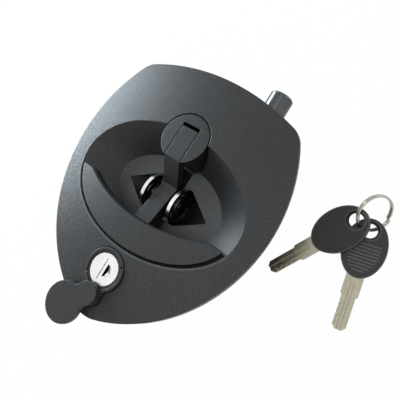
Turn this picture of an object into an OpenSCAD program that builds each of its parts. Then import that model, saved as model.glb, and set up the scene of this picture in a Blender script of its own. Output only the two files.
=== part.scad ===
// Camper door lock: a domed shield-shaped face plate with a finger bowl, a rocking pull handle,
// a sprung round bolt behind the plate, a cylinder lock with a swing cover, and two keys on a ring.
// Origin: centre of the finger bowl on the plane of the door skin. +Z points out of the door,
// +Y along the bolt, +X along the grip. The lock lies on its back.

/* [Face plate] */
// Width of the plate
plate_w = 148; // [144:0.5:152]
// Height of the widest point above the bowl centre
side_y = 11.8; // [10:0.1:13]
// Radius of the top edge of the outline
top_r = 161.4; // [155:0.1:170]
// Highest point of the top edge
top_y = 78.7; // [77:0.1:81]
// Rounding of the two upper corners
corner_r = 14; // [10:0.5:18]
// Rounding of the lower tip
tip_r = 25; // [22:0.5:28]
// Land between the lock's seat and the lower tip
tip_land = 4.2; // [4:0.1:5]
// Height of the dome over the door skin
crown = 11.5; // [11.2:0.1:12]
// Fall of the dome from the crown to the side
side_fall = 7.7; // [6.8:0.1:7.8]
// Fall of the dome from the crown to the top edge
top_fall = 5.4; // [4.6:0.1:5.6]
// Thickness of the moulded wall
wall = 2; // [1.6:0.1:2]

/* [Finger bowl] */
// Half length of the rim along the grip
rim_a = 61.5; // [60:0.1:62.5]
// Half width of the rim
rim_b = 37; // [36:0.1:37.5]
// Half length of the floor
floor_a = 39.8; // [38:0.1:41]
// Depth of the floor below the door skin
floor_d = 9.5; // [9.2:0.1:9.6]

/* [Pull handle] */
// Width of the arm, post and thumb pad
arm_w = 11.5; // [10.5:0.1:12]
// Pivot position across the bowl
pivot_y = -1.4; // [-1.8:0.1:-1]
// Diameter of the pivot pin
pin_d = 5; // [4:0.1:5.4]
// Radius of the inner edge of the grip
grip_inner_r = 109; // [106:0.5:112]
// Gap round the grip
grip_gap = 2.3; // [1.8:0.1:2.4]
// Thickness of the grip
grip_t = 5; // [4.6:0.1:5]
// Outer radius of the bright pivot rings
ring_r = 12; // [11:0.1:12.2]

/* [Round head] */
// Distance of the head from the bowl centre
head_y = 35.3; // [35:0.1:35.8]
// Diameter of the head
head_d = 30.8; // [30:0.1:31.4]

/* [Cylinder lock] */
// Land between the bowl's rim and the collar
lock_land = 5.25; // [5.2:0.05:5.6]
// Diameter of the bright lock face
plug_d = 19.4; // [18:0.1:19.8]
// Outer diameter of the collar
collar_d = 26.5; // [26:0.1:27.5]
// Distance from the lock to the swing cover's rivet
cover_arm = 16.5; // [16:0.1:17]
// Angle at which the swing cover hangs open
cover_open = 141; // [100:1:150]

/* [Bolt] */
// Diameter of the bolt
bolt_d = 15; // [13:0.1:15.4]
// Bolt position to the side of the bowl centre
bolt_x = 30; // [29:0.1:30.5]
// Depth of the bolt axis below the door skin
bolt_depth = 12.6; // [12.6:0.1:13]
// Reach of the bolt's nose from the bowl centre
bolt_tip = 89; // [86:0.5:91]

/* [Case] */
// Clear depth behind the finger bowl for the lever
lever_space = 2.8; // [2.7:0.1:3.2]
// Distance of the fixings from the sides of the plate
fix_in = 22; // [21:0.5:23]
// Fixing centres along the bolt
fix_y = 72; // [66:0.5:72]
// Core bore of the fixing bosses
fix_d = 3.3; // [2.5:0.1:3.6]

/* [Keys] */
// Length of a whole key
key_l = 64; // [62:0.5:66]
// Length of the key heads
bow_l = 34; // [32:0.5:35]
// Width of the key heads
bow_w = 24; // [22:0.5:24.5]
// Thickness of the key heads
bow_t = 4; // [3.6:0.1:4.2]
// Thickness of the key blades
blade_t = 2.2; // [1.8:0.1:2.4]

/* [Hidden] */

$fn = 96;
eps = 0.01;
run = 0.05;                  // radial running clearance
press = 0.01;                // radial clearance of pieces pressed together
seat = 0.3;                  // gap between pieces that sit side by side
plastic = "#2b2b2d";
inner_plastic = "#1d1d1f";
steel = "#c9cbce";
dark_steel = "#7d8084";

// Plate
dome_y = -3;
half_w = plate_w / 2;
dome_rx = (pow(half_w, 2) + pow(side_fall, 2)) / (2 * side_fall);
dome_ry = (pow(top_y - dome_y, 2) + pow(top_fall, 2)) / (2 * top_fall);
dome_w = 110;                // half width of the body that is cut to the dome
dome_h = 60;                 // its depth
dome_turn = 22;              // its angle along the plate
rim_z = 7;                   // level at which the bowl has the rim's size
floor_z = -floor_d;
bowl_spread = (rim_a - floor_a) / (rim_z - floor_z);
bowl_ratio = rim_b / rim_a;
gasket_t = 1;
gasket_w = 3.4;
fix_x = plate_w - 2 * fix_in;
fix_boss_d = 8.5;
fix_low = -14;
fix_depth = 15;

// Handle
pivot_z = floor_z;
slot_half = arm_w / 2 + 1.25;
slot_y0 = -22;
slot_y1 = 20.5;
cheek_out = slot_half + 2.4;
ring_w = 2.8;
pocket_r = ring_r + 0.4;
pocket_end = cheek_out + ring_w + 1;
pocket_tip = 32.5;
pocket_wall = 1.8;
eye_r = 4.6;
hub_r = 7.5;
tail_half = 2.5;
tail_low = -25.8;
pad_far = 41.9;
pad_gap = 1.3;
pad_t = 3.5;
pad_front = 21.5;
pad_root = 25.5;
slot_reach = norm([pad_far + pad_gap - pivot_y, crown - pivot_z]);
grip_end_y = -9;
grip_notch_x = 46;
grip_c = grip_end_y + sqrt(pow(grip_inner_r, 2) - pow(grip_notch_x, 2));
grip_proud = 0.6;
grip_chamfer = 1.2;
grip_mid = [grip_c - grip_inner_r, dome_z(grip_c - grip_inner_r) + grip_proud];
grip_fall = dome_rx - sqrt(pow(dome_rx, 2) - pow(grip_notch_x, 2));
grip_tip = [grip_end_y, dome_z(grip_end_y) + grip_proud - grip_fall];
grip_rise = norm(grip_tip - grip_mid);
grip_lean = atan2(grip_tip[1] - grip_mid[1], grip_tip[0] - grip_mid[0]);
grip_lean_r = (pow(grip_notch_x, 2) + pow(grip_rise, 2)) / (2 * grip_rise);
arm_flat_z = 5.4;
arm_flat = [-30, -25.5];
grip_screw_x = 3;
grip_screw_y = (arm_flat[0] + arm_flat[1]) / 2;
grip_screw_d = 2.5;
grip_screw_low = 1.4;

// Head
head_gap = 0.8;
head_seat_z = floor_z - 0.2;
head_screw_d = 3;
head_screw_x = 10.4;

// Lock
lock_y = -rim_b - lock_land - collar_d / 2;
barrel_d = plug_d + 3.6;
lock_face_z = 10.2;
collar_z = 10.6;
ledge_z = 0.5;
ledge_low = -2;
lobe_r = 7.2;
lobe_fillet = 5;
lock_rim = 2.4;              // wall of the seat round the collar
tip_y = lock_y - cover_arm - lobe_r - lock_rim - tip_land;
cover_r = 12.8;
cover_t = 3.2;
cover_z = collar_z + seat;
rivet_d = 4;
rivet_head_d = 7.6;
rivet_head_t = 1.4;
rivet_in = 2.2;               // how far the rivet stands in the cover
nut_af = barrel_d + 5;
nut_t = 5;
barrel_low = -21;
cam_t = 2;
cam_reach = 22;
cam_half = 4.5;
tang = 8;
tang_l = cam_t + 0.4;

// Case
cover_sheet = 2.5;
case_floor_t = 2;
case_in = pivot_z - pocket_r - pocket_wall - lever_space;
case_low = case_in - case_floor_t;
case_d = cover_sheet - case_low;
case_wall = 2;
case_x = [-40, 46];
case_y = [-39, 66];
cam_way = sqrt(pow(cam_reach, 2) - pow(case_y[0] - lock_y, 2)) + 1;  // room for the cam's swing in the wall
case_top = fix_low - 0.5;
case_posts = [[-33, 18], [-33, -27], [0, 44], [14, -32]];
post_d = 7;
case_screw_d = 3;
case_screw_head = 6;
case_screw_head_h = 1.8;
case_screw_l = 10;

// Bolt train
bolt_z = -bolt_depth;
lever_x = -20;
lever_half = 5;
lever_y = pivot_y - tail_half - 0.8 - lever_half;
lever_z = case_in + 0.2;
lever_t = 2.2;
fork_half = 6.5;
fork_l = 12;
stud_d = 6;
clip_t = 0.8;
bar_half = 4;
bar_z = -21;
bar_t = 4;
bar_back = -16;
drive_d = 5;
drive_low = case_in + 0.4;
bolt_rear = 46;
tongue_t = 4.3;
tongue_top = -7;
bar_screw_d = 4;
wiper_w = 1;                 // groove in the bolt just outside its bush
wiper_d = 0.3;
spring_x = bolt_x + 9.5;
spring_z = -19;
spring_r = 3.4;
spring_wire = 1.2;
spring_turns = 12;
spring_y = [-6, 34];
lug_t = 3;
bush_d = bolt_d + 6;
bush_y = [52, case_y[1]];
bush_flange_t = 1.5;
saddle_half = bush_d / 2 + 1.2;
saddle_top = -1.5;

// Keys
hole_r = 4;
hole_in = 6.8;               // distance of the hole from the end of the head
hole_flare = 0.7;            // widening of the hole towards both faces
blade_in = 8;                // how far the blade runs into the head
blade_step = 19;             // length of the narrow part of the blade
blade_narrow = 7.5;
blade_wide = 9.5;
key_one = [103.43, 44.15, -19.41];      // middle of the hole that hangs on the ring
key_one_turn = 58.7;
key_one_tilt = 10.5;
key_two = [111.65, 43.55, -26.31];
key_two_turn = 101.9;
key_two_tilt = 3.5;
ring_wire = 1.3;
ring_pitch = 1.35;
ring_mean = 10.5;
ring_at = [109.4, 52.7, -21.6];
ring_turn = [27.2, 47.6, 15.4];

// Height of the dome on its middle line
function dome_z(y) = crown - dome_ry + sqrt(pow(dome_ry, 2) - pow(y - dome_y, 2));

// Centre of a circle of radius r that touches two circles from inside
function inner_touch(c1, r1, c2, r2, r, side) =
  let (d = norm(c2 - c1), a = r1 - r, b = r2 - r, u = (c2 - c1) / d,
       x = (d * d + a * a - b * b) / (2 * d), h = sqrt(a * a - x * x))
  c1 + u * x + [-u[1], u[0]] * h * side;

// Point where a circle about p touches the circle of centre c and radius r
function touch(c, r, p) = c + (p - c) / norm(p - c) * r;

// Points of the arc about c, anticlockwise from p to q, both ends included
function arc(c, r, p, q, n) =
  let (a = atan2(p[1] - c[1], p[0] - c[0]), b = atan2(q[1] - c[1], q[0] - c[0]),
       turn = b < a ? b - a + 360 : b - a)
  [for (i = [0:n]) c + r * [cos(a + turn * i / n), sin(a + turn * i / n)]];

// Shield outline, drawn smaller by an even inset: side arcs from the widest points to the lower tip
module shield(inset = 0) {
  tip = [0, tip_y + tip_r];
  lean = half_w - tip_r;
  side_c = (pow(side_y - tip[1], 2) - pow(lean, 2)) / (2 * lean);
  side = [-side_c, side_y];
  top = [0, top_y - top_r];
  rs = half_w + side_c - inset;
  rt = top_r - inset;
  corner = inner_touch(side, rs, top, rt, corner_r - inset, 1);
  low = touch(side, rs, tip);
  high = touch(side, rs, corner);
  shoulder = touch(top, rt, corner);
  right = concat(arc(tip, tip_r - inset, [0, tip[1] - 1], low, 10), arc(side, rs, low, high, 40),
                 arc(corner, corner_r - inset, high, shoulder, 10), arc(top, rt, shoulder, [0, top_y], 16));
  left = [for (i = [len(right) - 2:-1:1]) [-right[i][0], right[i][1]]];
  outline = concat(right, left);
  n = len(outline);
  polygon([for (i = [0:n - 1]) if (norm(outline[i] - outline[(i + 1) % n]) > eps) outline[i]]);
}

// Two round lobes, the second at distance d along Y, joined by hollow fillets of radius f
module two_lobes(r1, r2, d, f) {
  y = (d * d + pow(r1 + f, 2) - pow(r2 + f, 2)) / (2 * d);
  waist = [sqrt(pow(r1 + f, 2) - y * y), y];
  end = [0, d];
  near = touch([0, 0], r1, waist);
  far = touch(end, r2, waist);
  neck = arc(waist, f, far, near, 12);
  right = concat(arc([0, 0], r1, [0, -r1], near, 24), [for (i = [len(neck) - 2:-1:1]) neck[i]],
                 arc(end, r2, far, [0, d + r2], 24));
  left = [for (i = [len(right) - 2:-1:1]) [-right[i][0], right[i][1]]];
  polygon(concat(right, left));
}

// Body under the doubly curved dome, drawn lower by an even depth
module dome(lower = 0) {
  translate([0, dome_y, crown - dome_ry]) rotate([90, 0, 90]) rotate(90 - dome_turn / 2)
    rotate_extrude(angle = dome_turn, $fn = 1440) intersection() {
      translate([dome_ry - dome_rx, 0]) circle(dome_rx - lower, $fn = 1440);
      translate([dome_ry - dome_h, -dome_w]) square([2 * dome_h, 2 * dome_w]);
    }
}

// Elliptic cone of the bowl between two levels, drawn smaller by gap along Y
module bowl_cone(gap, z0, z1) {
  r0 = floor_a + (z0 - floor_z) * bowl_spread - gap / bowl_ratio;
  r1 = floor_a + (z1 - floor_z) * bowl_spread - gap / bowl_ratio;
  scale([1, bowl_ratio, 1]) translate([0, 0, z0]) cylinder(z1 - z0, r0, r1);
}

// Round bar or cone along X about the pivot
module on_pivot(x0, x1, r0, r1) {
  translate([x0, pivot_y, pivot_z]) rotate([0, 90, 0]) cylinder(x1 - x0, r0, r1);
}

module both_sides() {
  children();
  mirror([1, 0, 0]) children();
}

// Pocket beside the arm: a drum for the ring and a cone that runs out along the floor
module pivot_pocket(grow, inner) {
  r = pocket_r + grow;
  translate([0, pivot_y, pivot_z]) rotate([0, 90, 0]) rotate_extrude()
    polygon([[0, inner], [r, inner], [r, pocket_end], [0, pocket_tip + grow]]);
}

// Plan of the lock's seat, collar side up
module lock_plan(grow) {
  translate([0, lock_y]) rotate(180)
    two_lobes(collar_d / 2 + grow, lobe_r + grow, cover_arm, lobe_fillet - grow);
}

// Screw with its head below z = 0, its shank along +Z
module screw(d, l, head, head_h) {
  translate([0, 0, -eps]) cylinder(l + eps, d = d);
  translate([0, 0, -head_h]) difference() {
    cylinder(head_h, d = head);
    translate([0, 0, -eps]) cylinder(head_h * 0.6, d = head * 0.55, $fn = 6);
  }
}

// Wire wound as a helix along Z
module coil(mean, wire, pitch, turns, steps = 20, sides = 8) {
  n = ceil(turns * steps);
  points = [for (i = [0:n]) let (a = 360 * turns * i / n) for (j = [0:sides - 1])
    let (b = 360 * j / sides, q = mean + wire / 2 * cos(b))
      [q * cos(a), q * sin(a), pitch * turns * i / n + wire / 2 * sin(b)]];
  skin = [for (i = [0:n - 1]) for (j = [0:sides - 1]) let (k = (j + 1) % sides)
    [i * sides + j, i * sides + k, (i + 1) * sides + k, (i + 1) * sides + j]];
  first = [for (j = [sides - 1:-1:0]) j];
  last = [for (j = [0:sides - 1]) n * sides + j];
  polyhedron(points, concat(skin, [first, last]));
}

// Face plate

module plate_skin() {
  difference() {
    linear_extrude(crown + 1) shield();
    intersection() {
      translate([0, 0, -1]) linear_extrude(crown + 2) shield(wall);
      dome(wall);
    }
  }
}

module plate_back() {
  bowl_cone(-wall, floor_z - wall, crown);
  translate([0, head_y, floor_z - wall])
    cylinder(crown - floor_z, d = head_d + 2 * (head_gap + wall));
  intersection() {
    both_sides() pivot_pocket(pocket_wall, slot_half);
    translate([-rim_a, -rim_a, floor_z - rim_a]) cube([2 * rim_a, 2 * rim_a, rim_a]);
  }
  translate([0, 0, ledge_low]) linear_extrude(crown) lock_plan(lock_rim);
  for (x = [-1, 1], y = [-1, 1])
    translate([x * fix_x / 2, y * fix_y / 2, fix_low]) cylinder(crown - fix_low, d = fix_boss_d);
  for (p = case_posts)
    translate([p[0], p[1], case_in]) cylinder(crown - case_in, d = post_d);
}

module plate_cuts() {
  bowl_cone(0, floor_z, 2 * crown);
  translate([0, head_y, head_seat_z]) cylinder(4 * crown, d = head_d + 2 * head_gap);
  both_sides() pivot_pocket(0, cheek_out);
  translate([-slot_half, slot_y0, floor_z - rim_a]) cube([2 * slot_half, slot_y1 - slot_y0, rim_a + 5]);
  translate([0, 0, ledge_z]) linear_extrude(2 * crown) lock_plan(seat);
  translate([0, lock_y, 2 * ledge_low]) cylinder(2 * crown, d = barrel_d + 2 * press);
  for (x = [-1, 1], y = [-1, 1])
    translate([x * fix_x / 2, y * fix_y / 2, fix_low - 1]) cylinder(fix_depth + 1, d = fix_d);
  for (p = case_posts)
    translate([p[0], p[1], case_in - 1]) cylinder(case_screw_l, d = case_screw_d + 2 * press);
  for (x = [-1, 1])
    translate([x * head_screw_x, head_y, floor_z - 2 * wall])
      cylinder(3 * wall, d = head_screw_d + 2 * press);
}

module front_plate() {
  color(plastic) difference() {
    union() {
      difference() {
        intersection() {
          union() {
            plate_skin();
            plate_back();
          }
          dome();
        }
        plate_cuts();
      }
      both_sides() on_pivot(slot_half, cheek_out, eye_r, eye_r);
    }
    on_pivot(-cheek_out - 1, cheek_out + 1, pin_d / 2 + press, pin_d / 2 + press);
  }
}

module plate_gasket() {
  color(inner_plastic) linear_extrude(gasket_t) difference() {
    shield(wall + press);
    shield(wall + gasket_w);
    lock_plan(lock_rim + seat);
    for (x = [-1, 1], y = [-1, 1]) translate([x * fix_x / 2, y * fix_y / 2]) circle(fix_boss_d / 2 + seat);
  }
}

// Head in the rim of the bowl, open at the front for the thumb pad
module round_head() {
  color(plastic) difference() {
    intersection() {
      translate([0, head_y, head_seat_z]) cylinder(crown - head_seat_z, d = head_d);
      dome();
    }
    intersection() {
      on_pivot(-slot_half, slot_half, slot_reach, slot_reach);
      translate([-arm_w / 2 - seat, 0, -2 * crown]) cube([arm_w + 2 * seat, 2 * head_y, 4 * crown]);
    }
    for (x = [-1, 1])
      translate([x * head_screw_x, head_y, head_seat_z - eps]) cylinder(8, d = head_screw_d + 2 * press);
  }
}

module head_screw() {
  color(dark_steel) for (x = [-1, 1])
    translate([x * head_screw_x, head_y, floor_z - wall]) screw(head_screw_d, 9, 5.5, 2);
}

// Handle

module grip_plan() {
  difference() {
    translate([-rim_a, -2 * rim_b]) square([2 * rim_a, 2 * rim_b + grip_end_y]);
    translate([0, grip_c]) circle(grip_inner_r);
  }
}

// Ring that cuts the chamfer along the upper inner edge
module grip_bevel() {
  translate([0, grip_mid[0], grip_mid[1]]) rotate([grip_lean, 0, 0]) translate([0, grip_lean_r, 0])
    rotate_extrude($fn = 180) polygon([
      [grip_lean_r - 1, -grip_chamfer - 1], [grip_lean_r + grip_chamfer + 1, 1], [grip_lean_r - 1, 1]
    ]);
}

module pull_grip() {
  color(plastic) difference() {
    intersection() {
      bowl_cone(grip_gap, floor_z, 2 * crown);
      linear_extrude(2 * crown) grip_plan();
      dome(-grip_proud);
    }
    dome(grip_t);
    grip_bevel();
    for (x = [-1, 1])
      translate([x * grip_screw_x, grip_screw_y, 0]) cylinder(crown - 2.5, d = grip_screw_d + 2 * press);
  }
}

module rocker_lever() {
  profile = [
    [arm_flat[0], 2.2], [-17, -5.5], [-5, -12], [4, -13], [9.5, -8], [pad_root, dome_z(pad_root) - pad_t],
    [pad_far, dome_z(pad_far) - pad_t], [pad_far, dome_z(pad_far)], [pad_front, dome_z(pad_front)],
    [7, -4.4], [-16.3, 2.6],
    [arm_flat[1], arm_flat_z], [arm_flat[0], arm_flat_z]
  ];
  color(plastic) difference() {
    union() {
      translate([-arm_w / 2, 0, 0]) rotate([90, 0, 90]) linear_extrude(arm_w) polygon(profile);
      on_pivot(-arm_w / 2, arm_w / 2, hub_r, hub_r);
      translate([-tail_half, pivot_y - tail_half, tail_low])
        cube([2 * tail_half, 2 * tail_half, pivot_z - tail_low]);
    }
    on_pivot(-arm_w, arm_w, pin_d / 2 + run, pin_d / 2 + run);
    for (x = [-1, 1])
      translate([x * grip_screw_x, grip_screw_y, -crown]) cylinder(2 * crown, d = grip_screw_d + 2 * press);
    for (x = [-1, 1])
      translate([x * grip_screw_x, grip_screw_y, -crown]) cylinder(crown + grip_screw_low + 1, d = 4.6);
  }
}

module grip_screws() {
  color(dark_steel) for (x = [-1, 1])
    translate([x * grip_screw_x, grip_screw_y, grip_screw_low + 1]) screw(grip_screw_d, 6, 4.4, 1.4);
}

module pivot_pin() {
  color(steel) on_pivot(-pocket_end, pocket_end, pin_d / 2, pin_d / 2);
}

module pin_clips() {
  color(dark_steel) both_sides() difference() {
    on_pivot(pocket_end - clip_t, pocket_end, 4.4, 4.4);
    on_pivot(0, pocket_end + 1, pin_d / 2 + press, pin_d / 2 + press);
  }
}

module pivot_ring() {
  color(steel) difference() {
    on_pivot(cheek_out + 0.1, cheek_out + 0.1 + ring_w, ring_r, ring_r);
    on_pivot(cheek_out - 1, pocket_end, ring_r - 2, ring_r - 2);
  }
}

module pivot_ring_right() {
  pivot_ring();
}

module pivot_ring_left() {
  mirror([1, 0, 0]) pivot_ring();
}

module torsion_spring() {
  wire = 1.2;
  color(dark_steel) translate([cheek_out + wire / 2 + 0.1, pivot_y, pivot_z])
    rotate([0, 90, 0]) coil((pin_d / 2 + ring_r - 2) / 2 + 0.4, wire, wire + 0.1, 1.6);
}

module torsion_spring_right() {
  torsion_spring();
}

module torsion_spring_left() {
  mirror([1, 0, 0]) torsion_spring();
}

// Cylinder lock

module lock_collar() {
  color(inner_plastic) difference() {
    translate([0, 0, ledge_z]) linear_extrude(collar_z - ledge_z) lock_plan(0);
    translate([0, lock_y, -crown]) cylinder(3 * crown, d = barrel_d + 2 * press);
    translate([0, lock_y - cover_arm, -crown]) cylinder(3 * crown, d = rivet_d + 2 * press);
    translate([0, lock_y - cover_arm, ledge_z - 1]) cylinder(1 + rivet_head_t, d = rivet_head_d + 2 * press);
    for (a = [35, 215])
      translate([0, lock_y, collar_z]) rotate(a) translate([barrel_d / 2, -0.8, -1]) cube([4, 1.6, 2]);
  }
}

module lock_barrel() {
  color(inner_plastic) difference() {
    translate([0, lock_y, barrel_low]) cylinder(lock_face_z - barrel_low, d = barrel_d);
    translate([0, lock_y, barrel_low - 1]) cylinder(lock_face_z - barrel_low + 2, d = plug_d + 2 * run);
  }
}

module barrel_nut() {
  color(dark_steel) translate([0, lock_y, ledge_low - nut_t]) difference() {
    cylinder(nut_t, d = nut_af / cos(30), $fn = 6);
    translate([0, 0, -1]) cylinder(nut_t + 2, d = barrel_d + 2 * press);
  }
}

// Plug with a sighting groove beside the key slit, which opens into a half-round dish
module key_plug() {
  slit = [1.6, 7.6];
  slit_x = 1.6;
  slit_d = 18;
  groove = [0.6, 13.6];
  groove_x = -1.3;
  groove_d = 0.5;
  dish_r = 4.2;
  dish_d = 1.4;
  color(steel) difference() {
    union() {
      translate([0, lock_y, barrel_low]) cylinder(lock_face_z - barrel_low, d = plug_d);
      translate([-tang / 2, lock_y - tang / 2, barrel_low - tang_l]) cube([tang, tang, tang_l + eps]);
    }
    translate([slit_x - slit[0] / 2, lock_y - slit[1] / 2, lock_face_z - slit_d])
      cube([slit[0], slit[1], slit_d + 1]);
    translate([groove_x - groove[0] / 2, lock_y - groove[1] / 2, lock_face_z - groove_d])
      cube([groove[0], groove[1], 1]);
    translate([slit_x - slit[0] / 2, lock_y, lock_face_z]) rotate(-90) rotate_extrude(angle = 180)
      polygon([[0, -dish_d], [dish_r, 0], [dish_r, 1], [0, 1]]);
    translate([0, lock_y, barrel_low - tang_l - 1]) cylinder(8, d = 3 + 2 * press);
  }
}

module lock_cam() {
  hole = tang + 2 * press;
  color(steel) translate([0, lock_y, barrel_low - cam_t - 0.2]) difference() {
    union() {
      cylinder(cam_t, r = 8.5);
      translate([-cam_reach + cam_half, -cam_half, 0]) cube([cam_reach - cam_half, 2 * cam_half, cam_t]);
      translate([-cam_reach + cam_half, 0, 0]) cylinder(cam_t, r = cam_half);
    }
    translate([-hole / 2, -hole / 2, -1]) cube([hole, hole, cam_t + 2]);
  }
}

module cam_screw() {
  color(dark_steel) translate([0, lock_y, barrel_low - tang_l]) screw(3, 6, 13, 1.8);
}

module swing_cover() {
  color(plastic) translate([0, lock_y - cover_arm, cover_z]) rotate(cover_open) difference() {
    linear_extrude(cover_t) two_lobes(lobe_r, cover_r, cover_arm, lobe_fillet);
    translate([0, 0, -1]) cylinder(1 + rivet_in + run, d = rivet_d + 2 * run);
    translate([0, cover_arm, -1]) cylinder(2, r = cover_r - 1.8);
  }
}

module cover_rivet() {
  color(dark_steel) translate([0, lock_y - cover_arm, ledge_z]) {
    cylinder(cover_z + rivet_in - ledge_z, d = rivet_d);
    cylinder(rivet_head_t, d = rivet_head_d);
  }
}

// Bolt train

// Turns a shape drawn along Z to lie along +Y on the bolt axis
module along_bolt(y, x = bolt_x, z = bolt_z) {
  translate([x, y, z]) rotate([-90, 0, 0]) children();
}

module latch_bolt() {
  nose = 1.2;
  color(steel) difference() {
    along_bolt(bolt_rear) {
      cylinder(bolt_tip - bolt_rear - nose, d = bolt_d);
      translate([0, 0, bolt_tip - bolt_rear - nose]) cylinder(nose, d1 = bolt_d, d2 = bolt_d - 2 * nose);
    }
    along_bolt(bolt_rear - 1) cylinder(13, d = bar_screw_d + 2 * press);
    along_bolt(bush_y[1] + bush_flange_t + 0.5) difference() {
      cylinder(wiper_w, d = bolt_d + 1);
      translate([0, 0, -1]) cylinder(wiper_w + 2, d = bolt_d - 2 * wiper_d);
    }
  }
}

module bolt_bush() {
  color(dark_steel) difference() {
    union() {
      along_bolt(bush_y[0]) cylinder(bush_y[1] - bush_y[0], d = bush_d);
      along_bolt(bush_y[1]) cylinder(bush_flange_t, d = bush_d + 2);
    }
    along_bolt(bush_y[0] - 1) cylinder(bush_y[1] - bush_y[0] + 4, d = bolt_d + 2 * run);
  }
}

module draw_bar() {
  color(dark_steel) difference() {
    union() {
      translate([bolt_x - bar_half, bar_back, bar_z]) cube([2 * bar_half, bolt_rear - bar_back, bar_t]);
      translate([bolt_x - bar_half, bolt_rear - tongue_t, bar_z])
        cube([2 * bar_half, tongue_t, tongue_top - bar_z]);
      translate([bolt_x, spring_y[1], bar_z])
        cube([spring_x - bolt_x + spring_r, lug_t, bar_t + 2]);
    }
    along_bolt(bar_back) cylinder(2 * bolt_rear, d = bar_screw_d + 2 * press);
    translate([bolt_x, lever_y, bar_z - 1]) cylinder(bar_t + 2, d = drive_d + 2 * press);
  }
}

module bar_screw() {
  color(steel) along_bolt(bolt_rear - tongue_t) screw(bar_screw_d, 14, 7, 2.2);
}

module drive_pin() {
  color(steel) translate([bolt_x, lever_y, drive_low]) cylinder(bar_z + bar_t - drive_low, d = drive_d);
}

module bolt_spring() {
  length = spring_y[1] - spring_y[0] - spring_wire;
  color(steel) along_bolt(spring_y[0] + spring_wire / 2, spring_x, spring_z)
    coil(spring_r, spring_wire, length / spring_turns, spring_turns, 16, 6);
}

// Flat lever with a round eye on its stud and a fork that holds the drive pin
module transfer_lever() {
  reach = bolt_x - lever_x;
  color(dark_steel) translate([lever_x, lever_y, lever_z]) difference() {
    union() {
      cylinder(lever_t, r = lever_half + 1);
      translate([0, -lever_half, 0]) cube([reach - fork_l / 2, 2 * lever_half, lever_t]);
      translate([reach - fork_l / 2, -fork_half, 0]) cube([fork_l, 2 * fork_half, lever_t]);
    }
    translate([0, 0, -1]) cylinder(lever_t + 2, d = stud_d + 2 * run);
    translate([reach - drive_d, -drive_d / 2 - 0.4, -1]) cube([2 * fork_l, drive_d + 0.8, lever_t + 2]);
  }
}

module lever_stud() {
  color(steel) translate([lever_x, lever_y, case_low])
    cylinder(lever_z + lever_t + 0.1 + clip_t - case_low, d = stud_d);
}

module stud_clip() {
  color(dark_steel) translate([lever_x, lever_y, lever_z + lever_t + 0.1]) difference() {
    cylinder(clip_t, d = stud_d + 5);
    translate([0, 0, -1]) cylinder(clip_t + 2, d = stud_d + 2 * press);
  }
}

// Case

module case_box(inset, z0, z1) {
  translate([case_x[0] + inset, case_y[0] + inset, z0])
    cube([case_x[1] - case_x[0] - 2 * inset, case_y[1] - case_y[0] - 2 * inset, z1 - z0]);
}

module chassis() {
  color(inner_plastic) difference() {
    union() {
      difference() {
        case_box(0, case_low, case_top);
        case_box(case_wall, case_in, 0);
      }
      translate([bolt_x - saddle_half, bush_y[0], case_low])
        cube([2 * saddle_half, bush_y[1] - bush_y[0], saddle_top - case_low]);
      translate([spring_x - 2.3, spring_y[0] - lug_t, case_low])
        cube([case_x[1] - spring_x + 2.3, lug_t, spring_z + spring_r + 1 - case_low]);
    }
    along_bolt(bush_y[0] - 1) cylinder(bush_y[1] - bush_y[0] + 4, d = bush_d + 2 * press);
    translate([lever_x, lever_y, case_low - 1]) cylinder(2 * case_floor_t, d = stud_d + 2 * press);
    translate([-cam_way, case_y[0] - 1, barrel_low - 2 * cam_t])
      cube([cam_way + 2 * cam_half, 2 * case_wall, case_d]);
    for (p = case_posts)
      translate([p[0], p[1], case_low - 1]) cylinder(2 * case_floor_t, d = case_screw_d + 0.4);
  }
}

module rear_cover() {
  color(dark_steel) difference() {
    case_box(0.5, -case_d, case_low);
    for (p = case_posts) translate([p[0], p[1], -case_d - 1]) {
      cylinder(2 * cover_sheet, d = case_screw_d + 0.4);
      cylinder(1 + case_screw_head_h, d = case_screw_head + 0.4);
    }
  }
}

module case_screws() {
  color(steel) for (p = case_posts)
    translate([p[0], p[1], -case_d + case_screw_head_h])
      screw(case_screw_d, case_screw_l, case_screw_head, case_screw_head_h);
}

// Keys

module place_key(hole, turn, tilt) {
  translate(hole) rotate([0, -tilt, turn]) translate([hole_in - key_l, 0, -bow_t / 2]) children();
}

// Flat blade: a narrow tip, a wider neck and a milled groove
module key_blade() {
  neck = key_l - bow_l + blade_in;
  nose = 2;
  color(steel) translate([0, 0, (bow_t - blade_t) / 2]) difference() {
    linear_extrude(blade_t) polygon([
      [0, -blade_narrow / 2 + nose], [nose, -blade_narrow / 2], [blade_step, -blade_narrow / 2],
      [blade_step + 1, -blade_wide / 2], [neck, -blade_wide / 2], [neck, blade_wide / 2],
      [blade_step + 1, blade_wide / 2], [blade_step, blade_narrow / 2], [nose, blade_narrow / 2],
      [0, blade_narrow / 2 - nose]
    ]);
    translate([-1, -0.9, blade_t - 0.6]) cube([neck - blade_in - 2, 1.8, 1]);
  }
}

module key_bow() {
  middle = key_l - bow_l / 2;
  color(inner_plastic) difference() {
    translate([middle, 0, 0]) scale([1, bow_w / bow_l, 1]) cylinder(bow_t, d = bow_l);
    translate([key_l - hole_in, 0, 0]) rotate_extrude() polygon([
      [0, -1], [hole_r + hole_flare * (bow_t / 2 + 1), -1], [hole_r, bow_t / 2],
      [hole_r + hole_flare * (bow_t / 2 + 1), bow_t + 1], [0, bow_t + 1]
    ]);
    translate([0, -blade_wide / 2, (bow_t - blade_t) / 2])
      cube([key_l - bow_l + blade_in, blade_wide, blade_t]);
  }
}

module key_one_blade() {
  place_key(key_one, key_one_turn, key_one_tilt) key_blade();
}

module key_one_bow() {
  place_key(key_one, key_one_turn, key_one_tilt) key_bow();
}

module key_two_blade() {
  place_key(key_two, key_two_turn, key_two_tilt) key_blade();
}

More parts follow.
